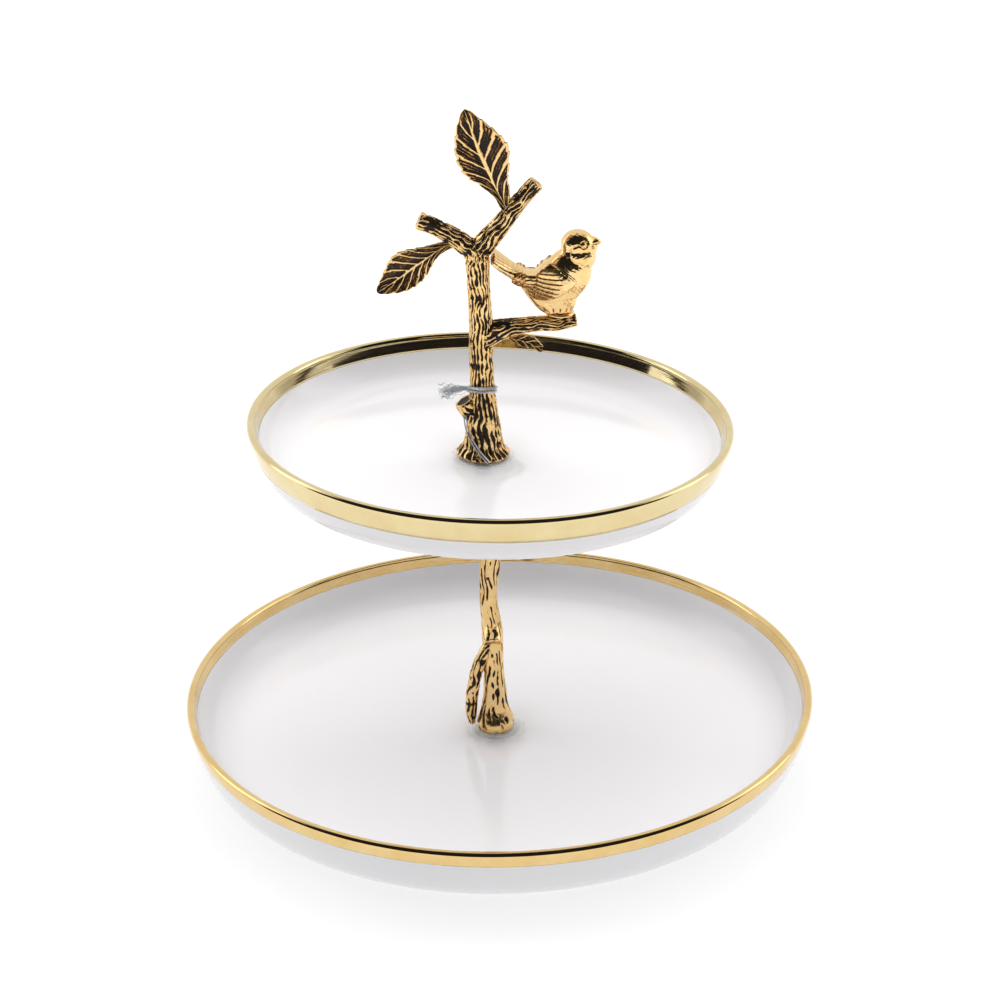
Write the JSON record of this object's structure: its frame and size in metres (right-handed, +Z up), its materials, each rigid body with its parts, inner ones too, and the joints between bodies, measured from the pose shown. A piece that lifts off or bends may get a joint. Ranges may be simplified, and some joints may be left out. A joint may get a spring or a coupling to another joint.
{
  "type": "tiered cake stand",
  "caption": "Tiered cake stand with shallow round gold-rimmed dishes on a cast tree-trunk post, topped by a branch handle with leaves and a perched bird.",
  "frame": {"origin": "centre of the lower dish, on the table surface that its foot ring rests on", "axes": "+Z up; the handle's branches, leaves and bird lie in the XZ plane with the bird towards +X; the pictured side faces -Y"},
  "size_m": [0.26, 0.26, 0.278],
  "materials": {
    "porcelain": "smooth white glaze",
    "rim_gold": "fired-on polished gold band",
    "patina_gold": "antique gold plating with near-black patina in the bark grooves",
    "bright_gold": "polished gold plating",
    "clear_plastic": "clear moulded plastic",
    "steel": "zinc-plated steel",
    "rubber": "matt rubber",
    "tinsel": "metallised thread"
  },
  "bodies": {
    "lower_dish": {"lower_plate": "porcelain", "lower_gold_rim": "rim_gold"},
    "post": {"lower_clear_washer": "clear_plastic", "base_gasket": "rubber", "base_steel_washer": "steel", "base_screw": "steel", "lower_post": "patina_gold", "lower_knot": "patina_gold", "lower_twig": "patina_gold", "under_clear_washer": "clear_plastic"},
    "upper_dish": {"upper_plate": "porcelain", "upper_gold_rim": "rim_gold"},
    "washer": {"upper_clear_washer": "clear_plastic"},
    "handle": {"handle_stud": "steel", "handle_trunk": "patina_gold", "right_branch": "patina_gold", "left_branch": "patina_gold", "trunk_knot": "patina_gold", "perch_branch": "patina_gold", "bird_pin": "steel", "bird_base": "bright_gold", "top_leaf": "patina_gold", "left_leaf": "patina_gold", "perch_leaf": "patina_gold", "bird": "bright_gold", "tie_loop": "tinsel", "tie_tail": "tinsel", "tie_strand": "tinsel"}
  },
  "joints": [
    {"name": "post_turn", "type": "hinge", "parent": "lower_dish", "child": "post", "pos_m": [-0.0018, 0, 0.01], "axis": [0, 0, 1], "continuous": true},
    {"name": "upper_dish_turn", "type": "hinge", "parent": "post", "child": "upper_dish", "pos_m": [-0.0022, 0, 0.13531], "axis": [0.0358, 0, 0.9994], "continuous": true},
    {"name": "handle_turn", "type": "hinge", "parent": "post", "child": "washer", "pos_m": [-0.0048, 0, 0.1354], "axis": [0.0358, 0, 0.9994], "range_deg": [0, 3420]},
    {"name": "handle_rise", "type": "slide", "parent": "washer", "child": "handle", "axis": [0.0358, 0, 0.9994], "range_m": [0, 0.0095]}
  ],
  "couplings": [
    {"joint": "handle_turn", "follows": "handle_rise", "rad_per_m": 6283.1}
  ]
}
